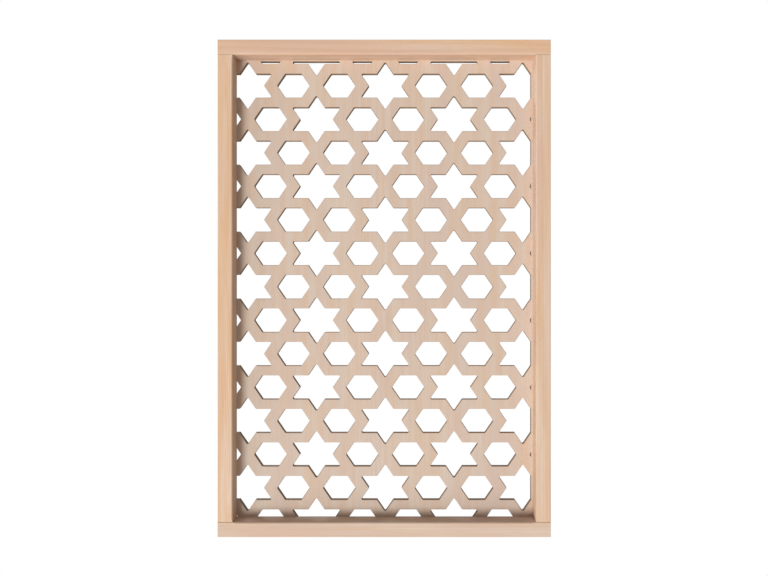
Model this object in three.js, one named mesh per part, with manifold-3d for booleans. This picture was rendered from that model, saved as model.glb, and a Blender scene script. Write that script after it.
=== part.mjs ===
// A framed mashrabiya screen: a fretwork board of six-pointed stars and hexagons in a rebated wooden frame.
// Sizes are in millimetres. +X is to the right seen from the front, +Y towards the wall behind, +Z up.
// The origin is the middle of the top rail's back face, where the screen is fixed.

import * as THREE from 'three';
import { mergeGeometries, mergeVertices } from 'three/addons/utils/BufferGeometryUtils.js';
import Module from 'manifold-3d';

// Frame: two rails across the full width and two stiles between them, all of one section
const SCREEN_WIDTH = 600;
const SCREEN_HEIGHT = 896;
const FRAME_FACE = 27;
const FRAME_DEPTH = 45;
const REBATE_WIDTH = 8;
const BOARD_RECESS = 4.8;
const FIT_GAP = 0.3;

// Fretwork board: cells in rows, every other row shifted by half a cell
const BOARD_THICKNESS = 10;
const CELL_PITCH = 84.7;
const ROW_PITCH = 61.9;
const STRAP_WIDTH = 21.5;
const CUTTER_RADIUS = 2;
const PATTERN_RIGHT = 0.7;
const PATTERN_LIFT = 3;

// Pierced field: a little larger than the sight opening, and off its middle to the left and down
const FIELD_COVER = 0.5;
const FIELD_LEFT = 3.8;
const FIELD_DROP = 2.6;

// Wood: beech, a little greyer on the board
const FRAME_COLOUR = 0xddbd9f;
const BOARD_COLOUR = 0xdcc2ac;
const WOOD_ROUGHNESS = 0.55;

// The opening that the frame leaves in sight, and the board's margin in the rebates around it
const SIGHT_WIDTH = SCREEN_WIDTH - 2 * FRAME_FACE;
const SIGHT_HEIGHT = SCREEN_HEIGHT - 2 * FRAME_FACE;
const MARGIN = REBATE_WIDTH - FIT_GAP;

// The rebate is open to the back, so the board sits deep behind the frame's front
const BOARD_SETBACK = FRAME_DEPTH / 2 - BOARD_RECESS - BOARD_THICKNESS / 2;
const BOARD_FRONT = BOARD_SETBACK - BOARD_THICKNESS / 2;

// The pattern is drawn on a regular grid of triangles, then squashed in height to its row pitch.
// Stars and hexagons have their sides at one distance from the cell's centre, half a strap inside
// the lines of the grid.
const SIXTH = Math.PI / 3;
const REGULAR_ROW = CELL_PITCH * Math.sin(SIXTH);
const SQUASH = ROW_PITCH / REGULAR_ROW;
const SIDE_DISTANCE = (REGULAR_ROW - STRAP_WIDTH) / 2;
const CORNER_DISTANCE = SIDE_DISTANCE / Math.sin(SIXTH);
const TIP_DISTANCE = 2 * SIDE_DISTANCE;
const LAST_COLUMN = Math.ceil(SIGHT_WIDTH / 2 / CELL_PITCH);
const LAST_ROW = Math.ceil(SIGHT_HEIGHT / 2 / ROW_PITCH);

const wasm = await Module();
wasm.setup();

function wood(color) {
  return new THREE.MeshStandardMaterial({ color, roughness: WOOD_ROUGHNESS, metalness: 0 });
}

// A closed geometry as a solid that can be joined and cut
function solidOf(geometry) {
  geometry.deleteAttribute('normal');
  geometry.deleteAttribute('uv');
  const merged = mergeVertices(geometry);
  return new wasm.Manifold(new wasm.Mesh({
    numProp: 3,
    vertProperties: new Float32Array(merged.attributes.position.array),
    triVerts: new Uint32Array(merged.index.array),
  }));
}

// The solid back as a flat-shaded geometry
function geometryOf(solid) {
  const mesh = solid.getMesh();
  const indexed = new THREE.BufferGeometry();
  indexed.setAttribute('position', new THREE.BufferAttribute(mesh.vertProperties, 3));
  indexed.setIndex(new THREE.BufferAttribute(mesh.triVerts, 1));
  const geometry = indexed.toNonIndexed();
  geometry.computeVertexNormals();
  return geometry;
}

// A block over the whole sight opening and a little more on every side
function sightBlock(more, depth) {
  return new THREE.BoxGeometry(SIGHT_WIDTH + 2 * more, depth, SIGHT_HEIGHT + 2 * more);
}

function polarPoint(distance, angle) {
  return new THREE.Vector2(distance * Math.cos(angle), distance * Math.sin(angle));
}

// Hexagon with a corner to the left and to the right. Its corners are so wide that the cutter's
// radius would take only a third of a millimetre off them, so they are plain.
function hexagonOutline() {
  const corners = [];
  for (let side = 0; side < 6; side++) {
    corners.push(polarPoint(CORNER_DISTANCE, side * SIXTH));
  }
  return new THREE.Shape(corners);
}

// Star with a point up and a point down: points rounded by the cutter, with a sharp notch after each
function starOutline() {
  const outline = new THREE.Shape();
  const roundDistance = TIP_DISTANCE - 2 * CUTTER_RADIUS;
  for (let point = 0; point < 6; point++) {
    const tipAngle = (point + 0.5) * SIXTH;
    const round = polarPoint(roundDistance, tipAngle);
    const notch = polarPoint(CORNER_DISTANCE, (point + 1) * SIXTH);
    outline.absarc(round.x, round.y, CUTTER_RADIUS, tipAngle - SIXTH, tipAngle + SIXTH, false);
    outline.lineTo(notch.x, notch.y);
  }
  outline.closePath();
  return outline;
}

// A cutter for one opening, standing out on both sides of the board, with its outline across X and Z
function openingCutter(outline, x, z) {
  const depth = 2 * BOARD_THICKNESS;
  const cutter = new THREE.ExtrudeGeometry(outline, { depth, bevelEnabled: false, curveSegments: 1 });
  return cutter.scale(1, SQUASH, 1).rotateX(Math.PI / 2).translate(x, depth / 2, z);
}

// All the openings: each row repeats star, hexagon, hexagon, and the middle row has a star at its centre
function patternCutter() {
  const hexagon = hexagonOutline();
  const star = starOutline();
  const cutters = [];
  for (let row = -LAST_ROW; row <= LAST_ROW; row++) {
    const shifted = Math.abs(row % 2);
    for (let column = -LAST_COLUMN; column <= LAST_COLUMN; column++) {
      const isStar = (column - shifted) % 3 === 0;
      const x = (column + shifted / 2) * CELL_PITCH + PATTERN_RIGHT;
      const z = row * ROW_PITCH + PATTERN_LIFT;
      cutters.push(openingCutter(isStar ? star : hexagon, x, z));
    }
  }
  return solidOf(mergeGeometries(cutters));
}

// The fretwork board. The openings stop at the border of the pierced field, which leaves a plain margin
// all round for the rebates.
function latticePanel() {
  const board = solidOf(sightBlock(MARGIN, BOARD_THICKNESS));
  const field = solidOf(sightBlock(FIELD_COVER, FRAME_DEPTH).translate(-FIELD_LEFT, 0, -FIELD_DROP));
  const openings = patternCutter().intersect(field);
  const mesh = new THREE.Mesh(geometryOf(board.subtract(openings)), wood(BOARD_COLOUR));
  mesh.name = 'lattice_panel';
  mesh.position.y = BOARD_SETBACK;
  return mesh;
}

// Section of a frame member: sight edge at x = 0 with the rebate behind it, outer edge at -FRAME_FACE
function memberSection() {
  const halfDepth = FRAME_DEPTH / 2;
  const rebateFront = BOARD_FRONT - FIT_GAP;
  return new THREE.Shape([
    new THREE.Vector2(-FRAME_FACE, -halfDepth),
    new THREE.Vector2(0, -halfDepth),
    new THREE.Vector2(0, rebateFront),
    new THREE.Vector2(-REBATE_WIDTH, rebateFront),
    new THREE.Vector2(-REBATE_WIDTH, halfDepth),
    new THREE.Vector2(-FRAME_FACE, halfDepth),
  ]);
}

// A length of the section, standing upright and centred on its length
function memberSolid(length) {
  const section = new THREE.ExtrudeGeometry(memberSection(), { depth: length, bevelEnabled: false });
  return solidOf(section.translate(0, 0, -length / 2));
}

// A stile's back runs on past both shoulders as stub tenons, which fill the ends of the rails' rebates
function stileSolid() {
  const backWidth = FRAME_FACE - REBATE_WIDTH;
  const backDepth = FRAME_DEPTH / 2 - BOARD_FRONT;
  const back = new THREE.BoxGeometry(backWidth, backDepth, SIGHT_HEIGHT + 2 * MARGIN);
  back.translate(-REBATE_WIDTH - backWidth / 2, BOARD_FRONT + backDepth / 2, 0);
  return memberSolid(SIGHT_HEIGHT - 2 * FIT_GAP).add(solidOf(back));
}

// A frame member placed with its sight edge at (x, z), turned about the screen's depth
function frameMember(name, solid, x, z, turn) {
  const mesh = new THREE.Mesh(geometryOf(solid), wood(FRAME_COLOUR));
  mesh.name = name;
  mesh.position.set(x, 0, z);
  mesh.rotation.y = turn;
  return mesh;
}

const rail = memberSolid(SCREEN_WIDTH);
const stile = stileSolid();

const screen = new THREE.Group();
screen.position.set(0, -FRAME_DEPTH / 2, (FRAME_FACE - SCREEN_HEIGHT) / 2);
screen.add(
  latticePanel(),
  frameMember('top_rail', rail, 0, SIGHT_HEIGHT / 2, Math.PI / 2),
  frameMember('bottom_rail', rail, 0, -SIGHT_HEIGHT / 2, -Math.PI / 2),
  frameMember('left_stile', stile, -SIGHT_WIDTH / 2, 0, 0),
  frameMember('right_stile', stile, SIGHT_WIDTH / 2, 0, Math.PI),
);

export default screen;
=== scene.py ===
"""Looks of a framed mashrabiya screen: a fretwork board of stars and hexagons in a rebated beech frame.

Everything is in metres in the part's own frame: +X to the right seen from the front, +Y towards the
wall behind, +Z up, with the origin in the middle of the top rail's back face.
"""

import math

import bmesh
import bpy
import numpy as np
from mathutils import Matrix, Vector
from mathutils.geometry import tessellate_polygon


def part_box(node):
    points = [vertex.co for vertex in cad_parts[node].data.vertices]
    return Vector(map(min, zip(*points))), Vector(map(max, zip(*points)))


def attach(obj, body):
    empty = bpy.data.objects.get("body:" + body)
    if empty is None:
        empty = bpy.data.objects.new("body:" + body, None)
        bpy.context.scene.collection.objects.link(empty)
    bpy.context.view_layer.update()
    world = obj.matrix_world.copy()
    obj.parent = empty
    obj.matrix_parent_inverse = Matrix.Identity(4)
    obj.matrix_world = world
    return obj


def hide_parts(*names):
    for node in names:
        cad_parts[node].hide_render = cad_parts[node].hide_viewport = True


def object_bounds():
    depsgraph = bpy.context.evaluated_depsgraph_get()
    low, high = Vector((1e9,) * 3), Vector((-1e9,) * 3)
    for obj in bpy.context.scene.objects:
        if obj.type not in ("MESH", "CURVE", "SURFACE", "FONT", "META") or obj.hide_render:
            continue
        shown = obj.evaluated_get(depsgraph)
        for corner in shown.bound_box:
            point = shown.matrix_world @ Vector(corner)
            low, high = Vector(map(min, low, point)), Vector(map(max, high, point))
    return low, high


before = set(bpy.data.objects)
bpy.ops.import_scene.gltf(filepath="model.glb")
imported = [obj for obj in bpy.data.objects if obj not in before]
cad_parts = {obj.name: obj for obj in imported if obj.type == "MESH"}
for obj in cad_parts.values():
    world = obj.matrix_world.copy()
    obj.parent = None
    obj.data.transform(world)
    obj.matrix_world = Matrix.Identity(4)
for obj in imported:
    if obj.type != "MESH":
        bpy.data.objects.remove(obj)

bl_info = {
    "name": "Mashrabiya screen",
    "version": (1, 0, 0),
    "blender": (4, 5, 0),
    "location": "View3D > Sidebar > Screen",
    "description": "Makes the frame, the fretwork board and the studio of a mashrabiya screen",
    "category": "Object",
}

CAD_BOX = [list(corner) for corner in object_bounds()]

# Photograph in pixels: its size, the middle of the screen's front and where the camera's axis meets it
PHOTO_SIZE = (768, 576)
SCREEN_PIXEL = (384.2, 288.4)
AXIS_PIXEL = (412, 286.7)

SIXTH = math.pi / 3
QUARTER = math.pi / 2

# Meshes, in metres: points this close are welded, and gaps this small count as none
WELD_DISTANCE = 2e-6
NO_GAP = 1e-7
SHARP_ANGLE = math.radians(50)


def size_of(node):
    """Width, depth and height of a node's box."""
    low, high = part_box(node)
    return high - low


SCREEN_WIDTH = size_of("top_rail").x
SCREEN_HEIGHT = CAD_BOX[1][2] - CAD_BOX[0][2]
MIDDLE_Z = (CAD_BOX[0][2] + CAD_BOX[1][2]) / 2
MIDDLE_Y = (CAD_BOX[0][1] + CAD_BOX[1][1]) / 2
FRONT_Y = CAD_BOX[0][1]
BOARD_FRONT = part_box("lattice_panel")[0].y

# Stage: where its lights stand, the floor's two far corners, and the camera's sensor in millimetres
KEY_PLACE = (-1.1, -2.3, MIDDLE_Z - 0.85)
SIDE_PLACE = (-1.9, -0.9, MIDDLE_Z - 1.4)
BACK_PLACE = (-0.9, 1.6, MIDDLE_Z + 0.9)
BACK_WIDTH = 1.2
FLOOR_LOW = (-1.5, -1.9)
FLOOR_HIGH = (1.5, 1.1)
FLOOR_TONE = (0.86, 0.86, 0.85, 1)
FLOOR_GLOW = 0.3
WHITE = (1, 1, 1, 1)
SENSOR_WIDTH = 36


class FrameSizes(bpy.types.PropertyGroup):
    """Sizes of the frame's rails and stiles."""

    face: bpy.props.FloatProperty(
        name="Face width",
        description="Width of a frame member seen from the front",
        default=size_of("top_rail").z,
        unit="LENGTH",
    )
    depth: bpy.props.FloatProperty(
        name="Depth",
        description="Depth of a frame member from front to back",
        default=size_of("top_rail").y,
        unit="LENGTH",
    )
    rebate_width: bpy.props.FloatProperty(
        name="Rebate width",
        description="How far the rebate that holds the board runs in behind the sight edge",
        default=0.008,
        unit="LENGTH",
    )
    play: bpy.props.FloatProperty(
        name="Play",
        description="Room between pieces that fit into each other",
        default=0.0003,
        unit="LENGTH",
    )
    arris: bpy.props.FloatProperty(
        name="Arris",
        description="Radius of the eased long edges",
        default=0.0011,
        unit="LENGTH",
    )
    sight_arris: bpy.props.FloatProperty(
        name="Sight arris",
        description="Radius of the rounded front edge round the sight opening",
        default=0.003,
        unit="LENGTH",
    )
    sight_run: bpy.props.FloatProperty(
        name="Sight run",
        description="Length over which the rounded sight edge runs out towards the corners",
        default=0.006,
        unit="LENGTH",
    )
    rebate_arris: bpy.props.FloatProperty(
        name="Rebate arris",
        description="Radius of the rebate's edges, above that of the end arris",
        default=0.0008,
        unit="LENGTH",
    )
    end_arris: bpy.props.FloatProperty(
        name="End arris",
        description="Radius of the eased edges at a member's ends and shoulders",
        default=0.0005,
        unit="LENGTH",
    )


class FretworkSizes(bpy.types.PropertyGroup):
    """Sizes of the pierced board and its pattern."""

    cell_pitch: bpy.props.FloatProperty(
        name="Cell pitch",
        description="Distance between the middles of two openings in a row",
        default=0.0847,
        unit="LENGTH",
    )
    row_pitch: bpy.props.FloatProperty(
        name="Row pitch",
        description="Distance between two rows of openings",
        default=0.0619,
        unit="LENGTH",
    )
    strap: bpy.props.FloatProperty(
        name="Strap width",
        description="Width of the straps before the pattern is squashed to its row pitch",
        default=0.0215,
        unit="LENGTH",
    )
    right: bpy.props.FloatProperty(
        name="Right",
        description="How far the pattern's middle lies to the right of the frame's middle",
        default=0.0007,
        unit="LENGTH",
    )
    lift: bpy.props.FloatProperty(
        name="Lift",
        description="Height of the pattern's middle above the frame's middle",
        default=0.003,
        unit="LENGTH",
    )
    field_cover: bpy.props.FloatProperty(
        name="Field cover",
        description="How much larger the pierced field is than the sight opening, on every side",
        default=0.0005,
        unit="LENGTH",
    )
    field_left: bpy.props.FloatProperty(
        name="Field left",
        description="How far the pierced field's middle lies to the left of the frame's middle",
        default=0.0038,
        unit="LENGTH",
    )
    field_drop: bpy.props.FloatProperty(
        name="Field drop",
        description="How far the pierced field's middle lies below the frame's middle",
        default=0.0026,
        unit="LENGTH",
    )
    cutter: bpy.props.FloatProperty(
        name="Cutter radius",
        description="Radius that the cutter leaves in the openings' corners",
        default=0.002,
        unit="LENGTH",
    )
    notch: bpy.props.FloatProperty(
        name="Notch radius",
        description="Radius of the sanded outward corners between a star's points",
        default=0.0014,
        unit="LENGTH",
    )
    arris: bpy.props.FloatProperty(
        name="Arris",
        description="Radius of the eased edges round the openings, below that of the notches",
        default=0.0012,
        unit="LENGTH",
    )


class WoodTones(bpy.types.PropertyGroup):
    """Colours and finish of the wood."""

    pale: bpy.props.FloatVectorProperty(
        name="Pale",
        description="Pale body of the wood",
        subtype="COLOR",
        default=(0.79, 0.59, 0.44),
    )
    golden: bpy.props.FloatVectorProperty(
        name="Golden",
        description="Golden streaks",
        subtype="COLOR",
        default=(0.77, 0.465, 0.255),
    )
    rosy: bpy.props.FloatVectorProperty(
        name="Rosy",
        description="Rosy bands",
        subtype="COLOR",
        default=(0.72, 0.48, 0.37),
    )
    late: bpy.props.FloatVectorProperty(
        name="Late wood",
        description="Dark lines of the year rings",
        subtype="COLOR",
        default=(0.58, 0.36, 0.23),
    )
    fleck: bpy.props.FloatVectorProperty(
        name="Flecks",
        description="Short dark ray flecks",
        subtype="COLOR",
        default=(0.42, 0.24, 0.14),
    )
    # Dark tone of the openings' sawn walls: darker cut wood, darkened much further as painted shade inside
    # the openings.
    cut: bpy.props.FloatVectorProperty(
        name="Cut walls",
        description="Sawn walls of the openings",
        subtype="COLOR",
        default=(0.22, 0.13, 0.07),
    )
    end: bpy.props.FloatVectorProperty(
        name="End grain",
        description="Wood cut across its fibres",
        subtype="COLOR",
        default=(0.38, 0.24, 0.15),
    )
    # Greyer colour mixed into some pieces: partly their own tone, partly painted shade that darkens the
    # board in its recess and the bottom rail.
    cast: bpy.props.FloatVectorProperty(
        name="Cast",
        description="Greyer cast of some pieces",
        subtype="COLOR",
        default=(0.57, 0.52, 0.475),
    )
    ring_pitch: bpy.props.FloatProperty(
        name="Ring pitch",
        description="Distance between year rings",
        default=0.0032,
        unit="LENGTH",
    )
    roughness: bpy.props.FloatProperty(
        name="Roughness",
        description="Middle roughness of the satin finish",
        subtype="FACTOR",
        default=0.5,
    )


class StudioSizes(bpy.types.PropertyGroup):
    """Camera, lights and floor."""

    camera_distance: bpy.props.FloatProperty(
        name="Camera distance",
        description="Distance from the camera to the frame's front",
        default=1.17,
        unit="LENGTH",
    )
    frame_pixels: bpy.props.FloatProperty(
        name="Frame width in pixels",
        description="Width of the frame's front in the photograph",
        default=333.4,
    )
    floor_drop: bpy.props.FloatProperty(
        name="Floor drop",
        description="Height of the screen's lower edge above the floor",
        default=0.78,
        unit="LENGTH",
    )
    key_strength: bpy.props.FloatProperty(
        name="Key light",
        description="Strength of the broad light from the lower left",
        default=2.1,
    )
    side_strength: bpy.props.FloatProperty(
        name="Side light",
        description="Strength of the grazing light from the lower left",
        default=0.85,
    )
    key_spread: bpy.props.FloatProperty(
        name="Key spread",
        description="Angle that the two lights from the left fill",
        subtype="ANGLE",
        default=0.5,
    )
    fill_power: bpy.props.FloatProperty(
        name="Back fill",
        description="Power of the soft light behind",
        default=10.0,
        unit="POWER",
    )
    ambient: bpy.props.FloatProperty(
        name="Ambient",
        description="Strength of the even light all round",
        default=0.3,
    )


def round_corners(corners, radii, steps):
    """Outline of a polygon whose corners are arcs.

    An arc's centre lies on the corner's bisector, at radius / sin(half angle) from the corner. Its points
    turn at equal steps from the foot of the centre on one side to its foot on the other side.
    Returns points by corner and step.
    """
    to_last = np.roll(corners, 1, axis=0) - corners
    to_next = np.roll(corners, -1, axis=0) - corners
    to_last /= np.linalg.norm(to_last, axis=1, keepdims=True)
    to_next /= np.linalg.norm(to_next, axis=1, keepdims=True)
    bisector = to_last + to_next
    bisector /= np.linalg.norm(bisector, axis=1, keepdims=True)
    half = np.arccos(np.clip((to_last * bisector).sum(axis=1), -1, 1))
    centre = corners + bisector * (radii / np.sin(half))[:, None]
    foot = (radii / np.tan(half))[:, None]
    first = corners + to_last * foot - centre
    last = corners + to_next * foot - centre
    sweep = (math.pi - 2 * half)[:, None, None]
    share = np.linspace(0, 1, steps)[None, :, None]
    turned = np.sin((1 - share) * sweep) * first[:, None] + np.sin(share * sweep) * last[:, None]
    return centre[:, None] + turned / np.sin(sweep)


def mitres(outline):
    """Step of each point that moves every side of a closed outline outwards by one.

    It is the sum of the normals of the two sides that meet there, over one plus their dot product.
    """
    side = np.roll(outline, -1, axis=0) - outline
    normal = np.stack([side[:, 1], -side[:, 0]], axis=1) / np.linalg.norm(side, axis=1, keepdims=True)
    before = np.roll(normal, 1, axis=0)
    return (before + normal) / (1 + (before * normal).sum(axis=1, keepdims=True))


def ring_quads(rings, points):
    """Quads between neighbouring rings of equally many points, closed round each ring."""
    grid = np.arange(rings * points).reshape(rings, points)
    ahead = np.roll(grid, -1, axis=1)
    return np.stack([grid[:-1], ahead[:-1], ahead[1:], grid[1:]], axis=-1).reshape(-1, 4)


def add_piece(name, vertices, faces, marks, material, node):
    """A welded, smooth-shaded piece that stands for a CAD node and rides on the body."""
    mesh = bpy.data.meshes.new(name)
    mesh.from_pydata(vertices.tolist(), [], faces)
    for mark, values in marks.items():
        mesh.attributes.new(mark, "FLOAT", "POINT").data.foreach_set("value", values.astype(np.float32))
    shell = bmesh.new()
    shell.from_mesh(mesh)
    bmesh.ops.remove_doubles(shell, verts=shell.verts, dist=WELD_DISTANCE)
    bmesh.ops.dissolve_degenerate(shell, edges=shell.edges, dist=NO_GAP)
    open_edges = sum(not edge.is_manifold for edge in shell.edges)
    if open_edges:
        raise RuntimeError(f"{name} has {open_edges} open or doubled edges")
    shell.to_mesh(mesh)
    shell.free()
    mesh.shade_smooth()
    mesh.set_sharp_from_angle(angle=SHARP_ANGLE)
    mesh.materials.append(material)
    piece = bpy.data.objects.new(name, mesh)
    bpy.context.scene.collection.objects.link(piece)
    flat_faces = piece.modifiers.new("flat_faces", "WEIGHTED_NORMAL")
    flat_faces.keep_sharp = True
    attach(piece, "root")
    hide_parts(node)


def member_section(sizes, sight_arris):
    """Rounded section of a frame member, and how much of an edge each of its points is.

    Corners run round an L: sight edge at 0 with the rebate behind it, outer edge at minus the face width,
    and depths measured from the member's middle. Each corner is an arc.
    """
    half_depth = sizes.depth / 2
    rebate_front = BOARD_FRONT - MIDDLE_Y - sizes.play
    corners = np.array([
        (-sizes.face, -half_depth),
        (0, -half_depth),
        (0, rebate_front),
        (-sizes.rebate_width, rebate_front),
        (-sizes.rebate_width, half_depth),
        (-sizes.face, half_depth),
    ])
    radii = np.array([sizes.arris, sight_arris, *[sizes.rebate_arris] * 3, sizes.arris])
    steps = 7
    # Share of painted shade across each rounded corner, most in the middle of the arc.
    edge_shade_share = np.sin(np.linspace(0.1, 0.9, steps) * math.pi)
    return round_corners(corners, radii, steps).reshape(-1, 2), np.tile(edge_shade_share, len(corners))


def end_stations(sizes):
    """Distance from a member's end and inset of the section, along the quarter round of its end arris."""
    turn = np.linspace(QUARTER, 0, 4)
    return sizes.end_arris * (1 - np.sin(turn)), sizes.end_arris * (1 - np.cos(turn))


def both_ends(values):
    """Values along one half of a member, and the same in reverse along its other half."""
    return np.concatenate([values, values[::-1]])


def member_mesh(sizes, length, sight, tenon):
    """Section of a frame member carried along its length, eased at both ends and closed there.

    The section steps in by the end arris at the ends. Its sight edge goes from the plain arris to the
    wider sight arris on an S-curve just inside the sight opening. Past the shoulders of a stile every
    point is held inside the tenon's box, and the section runs on by the tenon's length. Returns points
    across, deep and along, the faces, and the edge and end-grain marks.
    """
    plain, edge_shade_share = member_section(sizes, sizes.arris)
    rounded = member_section(sizes, sizes.sight_arris)[0]
    reach, inset = end_stations(sizes)
    run = np.linspace(0, 1, 5)
    still = np.zeros(len(run))
    start = sight / 2 - 2 * sizes.end_arris
    half = np.concatenate([length / 2 - reach, start - sizes.sight_run * run])
    along = both_ends(half) * np.repeat([-1, 1], len(half))
    inset = both_ends(np.concatenate([inset, still]))[:, None, None]
    share = both_ends(np.concatenate([np.zeros(len(reach)), run ** 2 * (3 - 2 * run)]))[:, None, None]
    across_end = both_ends(np.concatenate([np.linspace(1, 0, len(reach)), still]))
    # Painted edge shade at the eased ends, most halfway across the end.
    ease = np.sin(across_end * math.pi)
    rings = plain + share * (rounded - plain) - inset * mitres(plain)
    if tenon:
        low = (sizes.end_arris - sizes.face, BOARD_FRONT - MIDDLE_Y)
        high = (-sizes.rebate_width, sizes.depth / 2)
        stub = np.clip(plain[None], low, high)
        rings = np.concatenate([stub, stub, rings, stub, stub])
        shoulder = length / 2
        along = np.concatenate([[-shoulder - tenon, -shoulder], along, [shoulder, shoulder + tenon]])
        ease = np.concatenate([[0, 0], ease, [0, 0]])
        across_end = np.concatenate([[1, 1], across_end, [1, 1]])
    count = len(plain)
    deep = np.broadcast_to(along[:, None, None], (len(along), count, 1))
    vertices = np.concatenate([rings, deep], axis=2).reshape(-1, 3)
    first = np.arange(count)
    last = first + (len(along) - 1) * count
    faces = ring_quads(len(along), count).tolist() + [first[::-1].tolist(), last.tolist()]
    # Marks for the painted shade on the rounded edges and ends; the frame has no sawn walls.
    marks = {
        "arris": np.maximum(ease[:, None] * 0.8, edge_shade_share[None]).ravel(),
        "end_grain": np.repeat(across_end, count),
        "cut": np.zeros(len(vertices)),
    }
    return vertices, faces, marks


def turn_member(vertices, turn, sight_x, sight_z):
    """A member's points turned about the screen's depth and moved so that its sight edge is in place."""
    across, deep, along = vertices.T
    return np.stack([
        sight_x + across * math.cos(turn) + along * math.sin(turn),
        MIDDLE_Y + deep,
        MIDDLE_Z + sight_z - across * math.sin(turn) + along * math.cos(turn),
    ], axis=1)


def cell_corners(star, side_distance, squash):
    """Corners of a cell's outline whose sides lie at one distance from the cell's middle.

    A hexagon has its corners at side distance / sin 60, a sixth of a turn apart, starting to the right. A
    star keeps those as its notches and has its points between them, at twice the side distance.
    """
    angle = np.arange(6) * SIXTH
    corners = side_distance / math.sin(SIXTH) * np.stack([np.cos(angle), np.sin(angle)], axis=1)
    if star:
        angle = angle + SIXTH / 2
        points = 2 * side_distance * np.stack([np.cos(angle), np.sin(angle)], axis=1)
        corners = np.stack([corners, points], axis=1).reshape(-1, 2)
    return corners * (1, squash)


def trim(outline, half_width, half_height, middle):
    """The part of a closed outline inside a rectangle.

    For each side of the rectangle, points on the inner side stay, and where a stretch crosses it the
    crossing is put in, at the share of the stretch that the two distances give.
    """
    for axis, limit in ((0, half_width), (1, half_height)):
        for sign in (-1, 1):
            inside = limit - sign * (outline[:, axis] - middle[axis])
            ahead = np.roll(inside, -1)
            crosses = (inside >= 0) != (ahead >= 0)
            share = np.where(crosses, inside / np.where(crosses, inside - ahead, 1), 0)
            crossing = outline + share[:, None] * (np.roll(outline, -1, axis=0) - outline)
            slots = np.stack([outline, crossing], axis=1).reshape(-1, 2)
            outline = slots[np.stack([inside >= 0, crosses], axis=1).ravel()]
    return outline


def edge_profile(arris, thickness):
    """Profile of the board's edge round an opening, from the front face over the wall to the back face.

    Gives for each ring its distance into the strap, its depth behind the front face, and its marks of
    painted shade on the rounded edge and of the sawn wall. The front half is a quarter round, and the back
    half is the same in reverse.
    """
    turn = np.linspace(0, QUARTER, 5)
    inset = arris * (1 - np.sin(turn))
    depth = arris * (1 - np.cos(turn))
    # Painted shade over the rounded rim, most halfway round the quarter.
    edge_shade_share = np.sin(2 * turn)
    # Share of the sawn wall, where the dark wall tone with its painted shade goes.
    sawn = np.sin(turn) ** 2
    return (
        np.concatenate([inset, inset[::-1]]),
        np.concatenate([depth, thickness - depth[::-1]]),
        np.concatenate([edge_shade_share, edge_shade_share[::-1]]),
        np.concatenate([sawn, sawn[::-1]]),
    )


def oriented(triangles, points):
    """Triangles turned so that all of them run anticlockwise, by the sign of their area."""
    a, b, c = (points[triangles[:, k]] for k in range(3))
    area = (b[:, 0] - a[:, 0]) * (c[:, 1] - a[:, 1]) - (b[:, 1] - a[:, 1]) * (c[:, 0] - a[:, 0])
    return np.where(area[:, None] > 0, triangles, triangles[:, ::-1])


def fretwork_cell(tile, opening, profile, front):
    """One cell of the board: its flat faces and the collar round its opening.

    The collar is the edge profile carried round the opening's outline, each ring moved into the wood along
    the outline's mitres. The flats are filled between the collar and the cell's own border.
    """
    inset, depth, edge_shade_share, sawn = profile
    border = len(tile)
    points = len(opening)
    back = front + depth[-1]
    flat = np.stack([tile[:, 0], np.full(border, front), tile[:, 1]], axis=1)
    vertices = [flat, flat + (0, back - front, 0)]
    marks = {name: [np.zeros(2 * border)] for name in ("arris", "cut", "end_grain")}
    if points:
        step = mitres(opening)
        rings = opening[None] + inset[:, None, None] * step[None]
        deep = np.broadcast_to((front + depth)[:, None], rings.shape[:2])
        vertices.append(np.stack([rings[..., 0], deep, rings[..., 1]], axis=-1).reshape(-1, 3))
        across = (step[:, 1] / np.linalg.norm(step, axis=1)) ** 2
        # Marks where painted shade goes: along the rounded rim, and on the sawn walls with their darker
        # tone.
        marks["arris"].append(np.repeat(edge_shade_share, points))
        marks["cut"].append(np.repeat(sawn, points))
        marks["end_grain"].append((sawn[:, None] * across[None]).ravel())
        plane = np.concatenate([tile, rings[0]])
        loops = [[(x, z, 0) for x, z in loop.tolist()] for loop in (tile, rings[0])]
        filled = oriented(np.array(tessellate_polygon(loops)), plane)
        last_ring = 2 * border + (len(inset) - 1) * points
        front_flat = np.where(filled < border, filled, filled + border)
        back_flat = np.where(filled < border, filled + border, filled - border + last_ring)
        faces = front_flat.tolist() + back_flat[:, ::-1].tolist()
        faces += (ring_quads(len(inset), points) + 2 * border).tolist()
    else:
        faces = [list(range(border)), list(range(2 * border - 1, border - 1, -1))]
    return np.concatenate(vertices), faces, {name: np.concatenate(parts) for name, parts in marks.items()}


def board_edge(tile, half_width, half_height, middle):
    """Quads of a cell's share of the board's edge: sides of its tile that lie along the board's sides."""
    first = np.arange(len(tile))
    ahead = np.roll(first, -1)
    off = np.abs(tile - middle) - (half_width, half_height)
    on_edge = np.abs(off) < NO_GAP
    along = (on_edge & on_edge[ahead]).any(axis=1)
    quads = np.stack([first, first + len(tile), ahead + len(tile), ahead], axis=1)
    return quads[along].tolist()


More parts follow.
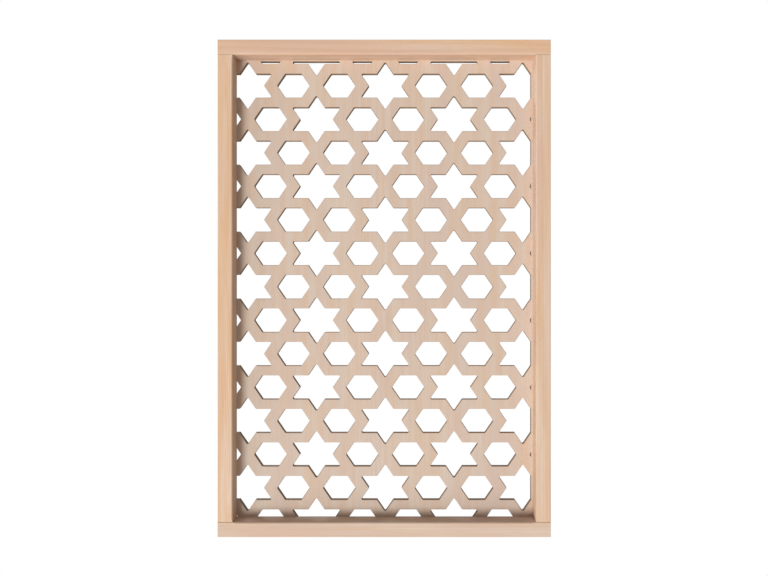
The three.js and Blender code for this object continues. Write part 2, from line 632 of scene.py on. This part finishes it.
def fretwork_mesh(sizes, frame_sizes):
    """The whole board: a grid of cells, each row repeating star, hexagon, hexagon.

    Cells stand a pitch apart in rows a row pitch apart, every other row moved by half a cell, with a
    star in the middle. Each cell's border is its outline with no strap, so neighbouring borders share
    their sides, and its opening is the same outline half a strap further in.
    """
    regular_row = sizes.cell_pitch * math.sin(SIXTH)
    squash = sizes.row_pitch / regular_row
    half_sight = SCREEN_WIDTH / 2 - frame_sizes.face, SCREEN_HEIGHT / 2 - frame_sizes.face
    board = size_of("lattice_panel")
    profile = edge_profile(sizes.arris, board.y)
    front = BOARD_FRONT
    middle = np.array([0, MIDDLE_Z])
    field_middle = middle - (sizes.field_left, sizes.field_drop)
    field_width, field_height = half_sight[0] + sizes.field_cover, half_sight[1] + sizes.field_cover
    last_column = math.ceil(half_sight[0] / sizes.cell_pitch) + 1
    last_row = math.ceil(half_sight[1] / sizes.row_pitch) + 1
    row, column = np.mgrid[-last_row:last_row + 1, -last_column:last_column + 1].reshape(2, -1)
    shifted = row % 2
    stars = (column - shifted) % 3 == 0
    centres = np.stack([
        (column + shifted / 2) * sizes.cell_pitch + sizes.right,
        MIDDLE_Z + sizes.lift + row * sizes.row_pitch,
    ], axis=1)
    steps = 5
    tiles, openings = {}, {}
    for star in (False, True):
        tiles[star] = cell_corners(star, regular_row / 2, squash)
        corners = cell_corners(star, (regular_row - sizes.strap) / 2, squash)
        radii = np.tile([sizes.notch, sizes.cutter], 6) if star else np.full(6, sizes.cutter)
        openings[star] = round_corners(corners, radii, steps).reshape(-1, 2)
    vertices, faces = [], []
    marks = {"arris": [], "cut": [], "end_grain": []}
    count = 0
    for centre, star in zip(centres, stars.tolist()):
        tile = trim(tiles[star] + centre, board.x / 2, board.z / 2, middle)
        if len(tile) < 3:
            continue
        opening = trim(openings[star] + centre, field_width, field_height, field_middle)
        cell_vertices, cell_faces, cell_marks = fretwork_cell(tile, opening, profile, front)
        cell_faces += board_edge(tile, board.x / 2, board.z / 2, middle)
        vertices.append(cell_vertices)
        faces += [[count + corner for corner in face] for face in cell_faces]
        for name, values in cell_marks.items():
            marks[name].append(values)
        count += len(cell_vertices)
    return np.concatenate(vertices), faces, {name: np.concatenate(parts) for name, parts in marks.items()}


def shader_node(tree, kind, sockets=None, **settings):
    """A node with its settings made and its sockets set or linked."""
    node = tree.nodes.new(kind)
    for name, value in settings.items():
        setattr(node, name, value)
    for name, value in (sockets or {}).items():
        if isinstance(value, bpy.types.NodeSocket):
            tree.links.new(value, node.inputs[name])
        else:
            node.inputs[name].default_value = value
    return node


def mixed(tree, share, under, over):
    """Colour between two colours or sockets, by a share."""
    node = tree.nodes.new("ShaderNodeMix")
    node.data_type = "RGBA"
    for index, value in ((0, share), (6, under), (7, over)):
        if isinstance(value, bpy.types.NodeSocket):
            tree.links.new(value, node.inputs[index])
        else:
            node.inputs[index].default_value = value if index == 0 else (*value, 1)
    return node.outputs[2]


def ranged(tree, value, low, high, to_low, to_high):
    """A value's range from low to high, carried to another range and held there."""
    sockets = {"Value": value, "From Min": low, "From Max": high, "To Min": to_low, "To Max": to_high}
    return shader_node(tree, "ShaderNodeMapRange", sockets, clamp=True).outputs["Result"]


def grained_noise(tree, grain, per_metre, detail=2.0):
    """Noise stretched along the grain: so many waves to the metre along it and both ways across it."""
    stretched = shader_node(tree, "ShaderNodeMapping", {"Vector": grain, "Scale": per_metre})
    sockets = {"Vector": stretched.outputs["Vector"], "Scale": 1.0, "Detail": detail}
    return shader_node(tree, "ShaderNodeTexNoise", sockets).outputs["Fac"]


def mark(tree, name):
    """One of the piece's own marks."""
    return shader_node(tree, "ShaderNodeAttribute", attribute_name=name).outputs["Fac"]


def times(tree, first, second):
    """Product of two values."""
    sockets = {0: first, 1: second}
    return shader_node(tree, "ShaderNodeMath", sockets, operation="MULTIPLY").outputs["Value"]


def beech(name, tones, upright, heart, cast):
    """Sanded beech with its grain along one length.

    The grain runs along X, or along Z where it is upright, and heart is where the tree's middle lies from
    the origin, so every piece shows rings of its own. Colour goes from pale to golden streaks and rosy
    bands, then year rings, fibres and flecks, then the piece's share of a greyer colour that is partly its
    tone and partly painted shade, and at last the sawn walls, darker wood with painted shade on them, end
    grain, and painted shade along the rounded edges.
    """
    material = bpy.data.materials.new(name)
    material.use_nodes = True
    tree = material.node_tree
    tree.nodes.clear()
    place = shader_node(tree, "ShaderNodeTexCoord").outputs["Object"]
    turned = {"Vector": place, "Rotation": (0, QUARTER if upright else 0, 0), "Location": heart}
    grain = shader_node(tree, "ShaderNodeMapping", turned).outputs["Vector"]

    slow = shader_node(tree, "ShaderNodeMapping", {"Vector": grain, "Scale": (0.05, 1, 1)})
    ring_wave = {
        "Vector": slow.outputs["Vector"],
        "Scale": 2 * math.pi / 20 / tones.ring_pitch,
        "Distortion": 9.0,
        "Detail": 3.0,
        "Detail Scale": 0.22,
    }
    rings = shader_node(
        tree, "ShaderNodeTexWave", ring_wave, wave_type="RINGS", rings_direction="X", wave_profile="SAW"
    ).outputs["Fac"]
    streaks = grained_noise(tree, grain, (4, 75, 75), 3.0)
    bands = grained_noise(tree, grain, (3, 20, 20))
    fibres = grained_noise(tree, grain, (32, 1100, 1100))
    rays = grained_noise(tree, grain, (210, 3200, 1500), 1.0)

    flecks = ranged(tree, rays, 0.66, 0.76, 0, 0.4)
    colour = mixed(tree, ranged(tree, streaks, 0.36, 0.64, 0, 0.9), tuple(tones.pale), tuple(tones.golden))
    colour = mixed(tree, ranged(tree, bands, 0.42, 0.7, 0, 0.8), colour, tuple(tones.rosy))
    colour = mixed(tree, ranged(tree, rings, 0.45, 1.0, 0, 0.3), colour, tuple(tones.late))
    colour = mixed(tree, ranged(tree, fibres, 0.48, 0.75, 0, 0.34), colour, tuple(tones.late))
    colour = mixed(tree, flecks, colour, tuple(tones.fleck))
    # Each piece's share of the greyer colour, partly its own tone and partly painted shade.
    colour = mixed(tree, cast, colour, tuple(tones.cast))
    # Sawn walls take a very dark tone: darker cut wood, and painted shade on the walls inside the openings.
    colour = mixed(tree, times(tree, mark(tree, "cut"), 0.9), colour, tuple(tones.cut))
    colour = mixed(tree, times(tree, mark(tree, "end_grain"), 0.5), colour, tuple(tones.end))
    # Painted shade along the rounded edges: the late-wood tone laid on by the arris mark, more where the
    # streaks are.
    edge_shade = times(tree, mark(tree, "arris"), ranged(tree, streaks, 0.35, 0.65, 0.05, 0.3))
    colour = mixed(tree, edge_shade, colour, tuple(tones.late))

    gloss = tones.roughness
    roughness = ranged(tree, fibres, 0.3, 0.75, gloss - 0.08, gloss + 0.14)
    relief = shader_node(tree, "ShaderNodeMath", {0: fibres, 1: times(tree, rings, -0.35)}, operation="ADD")
    pitted = shader_node(
        tree, "ShaderNodeMath", {0: relief.outputs["Value"], 1: flecks}, operation="SUBTRACT"
    ).outputs["Value"]
    bump = shader_node(
        tree, "ShaderNodeBump", {"Strength": 0.35, "Distance": 0.00025, "Height": pitted}
    ).outputs["Normal"]
    finish = {"Base Color": colour, "Roughness": roughness, "Normal": bump}
    surface = shader_node(tree, "ShaderNodeBsdfPrincipled", finish)
    surface.inputs["Specular IOR Level"].default_value = 0.2
    output = shader_node(tree, "ShaderNodeOutputMaterial")
    tree.links.new(surface.outputs["BSDF"], output.inputs["Surface"])
    return material


class MASHRABIYA_OT_rails(bpy.types.Operator):
    """Make the top and bottom rails: the full width, with the rebate open at their ends"""

    bl_idname = "mashrabiya.rails"
    bl_label = "Rails"

    def execute(self, context):
        sizes = context.scene.screen_frame
        tones = context.scene.screen_wood
        sight_z = SCREEN_HEIGHT / 2 - sizes.face
        for node, turn, side, heart, cast in (
            # The last number is each rail's share of greyer colour and painted shade, more on the bottom
            # rail.
            ("top_rail", QUARTER, 1, (0.34, -0.085, 0.03), 0.0),
            ("bottom_rail", -QUARTER, -1, (0.57, -0.06, 0.81), 0.3),
        ):
            vertices, faces, marks = member_mesh(sizes, SCREEN_WIDTH, SCREEN_WIDTH - 2 * sizes.face, 0)
            placed = turn_member(vertices, turn, 0, side * sight_z)
            wood = beech(f"beech_{node}", tones, False, heart, cast)
            add_piece(f"{node}_planed", placed, faces, marks, wood, node)
        return {"FINISHED"}


class MASHRABIYA_OT_stiles(bpy.types.Operator):
    """Make the left and right stiles: between the rails, with a stub tenon in each rail's rebate"""

    bl_idname = "mashrabiya.stiles"
    bl_label = "Stiles"

    def execute(self, context):
        sizes = context.scene.screen_frame
        tones = context.scene.screen_wood
        sight_x = SCREEN_WIDTH / 2 - sizes.face
        sight = SCREEN_HEIGHT - 2 * sizes.face
        length = sight - 2 * sizes.play
        tenon = (size_of("left_stile").z - length) / 2
        for node, turn, side, heart, cast in (
            # The last number is each stile's share of greyer colour, partly tone and partly painted shade.
            ("left_stile", 0, -1, (0.4, 0.06, -0.22), 0.0),
            ("right_stile", math.pi, 1, (1.3, -0.09, 0.37), 0.12),
        ):
            vertices, faces, marks = member_mesh(sizes, length, sight, tenon)
            placed = turn_member(vertices, turn, side * sight_x, 0)
            wood = beech(f"beech_{node}", tones, True, heart, cast)
            add_piece(f"{node}_planed", placed, faces, marks, wood, node)
        return {"FINISHED"}


class MASHRABIYA_OT_fretwork(bpy.types.Operator):
    """Make the pierced board of stars and hexagons"""

    bl_idname = "mashrabiya.fretwork"
    bl_label = "Fretwork board"

    def execute(self, context):
        vertices, faces, marks = fretwork_mesh(context.scene.screen_fretwork, context.scene.screen_frame)
        # The board takes the largest share of greyer colour and painted shade, as it sits back in the
        # frame's recess.
        wood = beech("beech_fretwork", context.scene.screen_wood, True, (0.9, 0.11, 0.02), 0.45)
        add_piece("fretwork_board", vertices, faces, marks, wood, "lattice_panel")
        return {"FINISHED"}


def add_light(name, kind, place, aim, energy, spread):
    """A soft light that shines from one point to another and isn't seen itself.

    The spread is the angle that a sun fills, or the width of an area.
    """
    light = bpy.data.lights.new(name, kind)
    light.energy = energy
    if kind == "SUN":
        light.angle = spread
    else:
        light.size = spread
    lamp = bpy.data.objects.new(name, light)
    lamp.location = place
    lamp.rotation_euler = (Vector(aim) - Vector(place)).to_track_quat("-Z", "Y").to_euler()
    lamp.visible_camera = False
    bpy.context.scene.collection.objects.link(lamp)


class MASHRABIYA_OT_studio(bpy.types.Operator):
    """Set up the floor, the soft lights and the camera at the photograph's angle"""

    bl_idname = "mashrabiya.studio"
    bl_label = "Studio"

    def execute(self, context):
        scene = context.scene
        studio = scene.screen_studio
        middle = (0, FRONT_Y, MIDDLE_Z)

        floor_z = CAD_BOX[0][2] - studio.floor_drop
        corners = [
            (FLOOR_LOW[0], FLOOR_LOW[1], floor_z),
            (FLOOR_HIGH[0], FLOOR_LOW[1], floor_z),
            (FLOOR_HIGH[0], FLOOR_HIGH[1], floor_z),
            (FLOOR_LOW[0], FLOOR_HIGH[1], floor_z),
        ]
        mesh = bpy.data.meshes.new("floor")
        mesh.from_pydata(corners, [], [(0, 1, 2, 3)])
        floor = bpy.data.objects.new("floor", mesh)
        pale = bpy.data.materials.new("pale_floor")
        pale.use_nodes = True
        surface = pale.node_tree.nodes["Principled BSDF"]
        surface.inputs["Base Color"].default_value = FLOOR_TONE
        surface.inputs["Roughness"].default_value = 0.8
        surface.inputs["Emission Color"].default_value = WHITE
        surface.inputs["Emission Strength"].default_value = FLOOR_GLOW
        mesh.materials.append(pale)
        floor.visible_shadow = False
        scene.collection.objects.link(floor)

        world = bpy.data.worlds.new("white_room")
        world.use_nodes = True
        tree = world.node_tree
        tree.nodes.clear()
        even = shader_node(tree, "ShaderNodeBackground", {"Color": WHITE, "Strength": studio.ambient})
        seen = shader_node(tree, "ShaderNodeBackground", {"Color": WHITE, "Strength": 1.0})
        path = shader_node(tree, "ShaderNodeLightPath")
        both = shader_node(tree, "ShaderNodeMixShader", {"Fac": path.outputs["Is Camera Ray"]})
        tree.links.new(even.outputs["Background"], both.inputs[1])
        tree.links.new(seen.outputs["Background"], both.inputs[2])
        output = shader_node(tree, "ShaderNodeOutputWorld")
        tree.links.new(both.outputs["Shader"], output.inputs["Surface"])
        scene.world = world
        scene.view_settings.view_transform = "Standard"

        add_light("key", "SUN", KEY_PLACE, middle, studio.key_strength, studio.key_spread)
        add_light("side", "SUN", SIDE_PLACE, middle, studio.side_strength, studio.key_spread)
        add_light("back_fill", "AREA", BACK_PLACE, middle, studio.fill_power, BACK_WIDTH)

        metre_pixels = studio.frame_pixels / SCREEN_WIDTH
        lens = bpy.data.cameras.new("camera")
        lens.sensor_width = SENSOR_WIDTH
        lens.lens = metre_pixels * studio.camera_distance * lens.sensor_width / PHOTO_SIZE[0]
        lens.shift_x = (PHOTO_SIZE[0] / 2 - AXIS_PIXEL[0]) / PHOTO_SIZE[0]
        lens.shift_y = (AXIS_PIXEL[1] - PHOTO_SIZE[1] / 2) / PHOTO_SIZE[0]
        right = AXIS_PIXEL[0] - SCREEN_PIXEL[0]
        up = SCREEN_PIXEL[1] - AXIS_PIXEL[1]
        camera = bpy.data.objects.new("camera", lens)
        camera.location = (
            right / metre_pixels,
            FRONT_Y - studio.camera_distance,
            MIDDLE_Z + up / metre_pixels,
        )
        camera.rotation_euler = (QUARTER, 0, 0)
        scene.collection.objects.link(camera)
        scene.camera = camera
        return {"FINISHED"}


class MASHRABIYA_PT_maker(bpy.types.Panel):
    """Sidebar panel with the screen's sizes and its makers"""

    bl_idname = "MASHRABIYA_PT_maker"
    bl_label = "Mashrabiya screen"
    bl_space_type = "VIEW_3D"
    bl_region_type = "UI"
    bl_category = "Screen"

    def draw(self, context):
        for group, makers in (
            ("screen_frame", ("mashrabiya.rails", "mashrabiya.stiles")),
            ("screen_fretwork", ("mashrabiya.fretwork",)),
            ("screen_wood", ()),
            ("screen_studio", ("mashrabiya.studio",)),
        ):
            box = self.layout.box()
            settings = getattr(context.scene, group)
            for name in settings.__annotations__:
                box.prop(settings, name)
            for maker in makers:
                box.operator(maker)


GROUPS = {
    "screen_frame": FrameSizes,
    "screen_fretwork": FretworkSizes,
    "screen_wood": WoodTones,
    "screen_studio": StudioSizes,
}
CLASSES = (
    *GROUPS.values(),
    MASHRABIYA_OT_rails,
    MASHRABIYA_OT_stiles,
    MASHRABIYA_OT_fretwork,
    MASHRABIYA_OT_studio,
    MASHRABIYA_PT_maker,
)


def register():
    for made in CLASSES:
        bpy.utils.register_class(made)
    for name, group in GROUPS.items():
        setattr(bpy.types.Scene, name, bpy.props.PointerProperty(type=group))


def unregister():
    for name in GROUPS:
        delattr(bpy.types.Scene, name)
    for made in reversed(CLASSES):
        bpy.utils.unregister_class(made)


def main():
    """Makes the studio and every piece."""
    register()
    bpy.ops.mashrabiya.studio()
    bpy.ops.mashrabiya.rails()
    bpy.ops.mashrabiya.stiles()
    bpy.ops.mashrabiya.fretwork()


if __name__ == "__main__":
    main()
